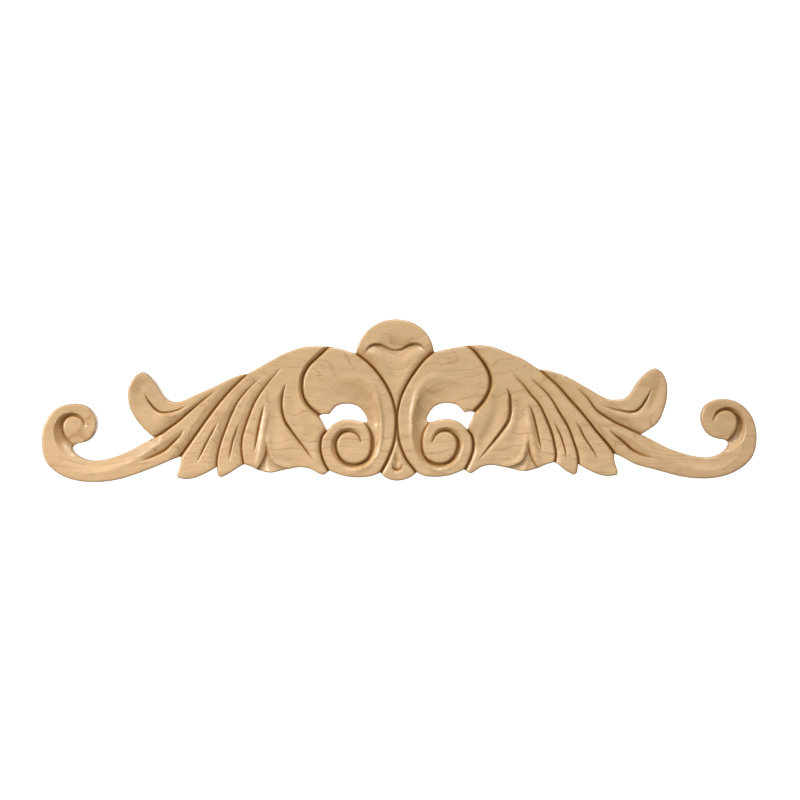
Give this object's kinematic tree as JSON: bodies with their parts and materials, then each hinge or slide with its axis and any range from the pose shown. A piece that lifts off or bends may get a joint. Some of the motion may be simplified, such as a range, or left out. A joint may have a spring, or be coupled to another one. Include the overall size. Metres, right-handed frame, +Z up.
{
  "type": "carved wood applique",
  "caption": "Carved flat-backed wood applique: paired scrolls under a domed lobe, with feather fans, upright leaves and stems ending in open volutes.",
  "frame": {"origin": "on the flat back, on the middle line between the two halves, level with the openings under the scrolls", "axes": "+X along the length, to the viewer's right; +Y out of the flat back, into the wall; +Z up. The carved face looks towards -Y"},
  "size_m": [0.4503, 0.016, 0.1017],
  "materials": {
    "maple": "sanded smooth, unfinished"
  },
  "bodies": {
    "root": {"applique": "maple"}
  },
  "joints": []
}
